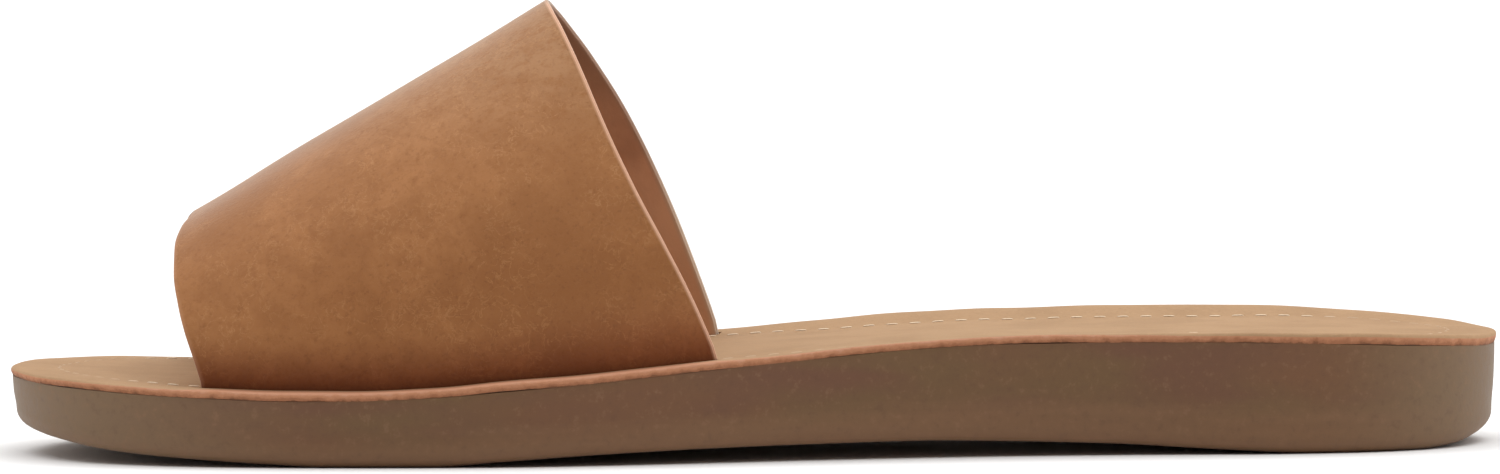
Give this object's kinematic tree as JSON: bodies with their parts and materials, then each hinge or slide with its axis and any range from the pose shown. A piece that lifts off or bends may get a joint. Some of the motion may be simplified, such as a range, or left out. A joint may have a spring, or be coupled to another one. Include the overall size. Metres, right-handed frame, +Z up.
{
  "type": "slide sandal",
  "caption": "Backless slide sandal with a broad one-piece leather strap over the instep, a flat stitched footbed and a low moulded sole.",
  "frame": {"origin": "on the floor under the middle of the sandal's bounding box", "axes": "the toe points to -X and the heel to +X, the outer (lateral) side of the foot is to -Y and the inner (medial) side to +Y, +Z is up"},
  "size_m": [0.2556, 0.0927, 0.0769],
  "materials": {
    "sole_rubber": "matt dark brown moulded rubber",
    "footbed_leather": "smooth matt tan leather over board",
    "strap_leather": "nubuck, tan shading to dark brown at its base"
  },
  "bodies": {
    "root": {"unit_sole": "sole_rubber", "insole": "footbed_leather", "strap": "strap_leather"}
  },
  "joints": []
}
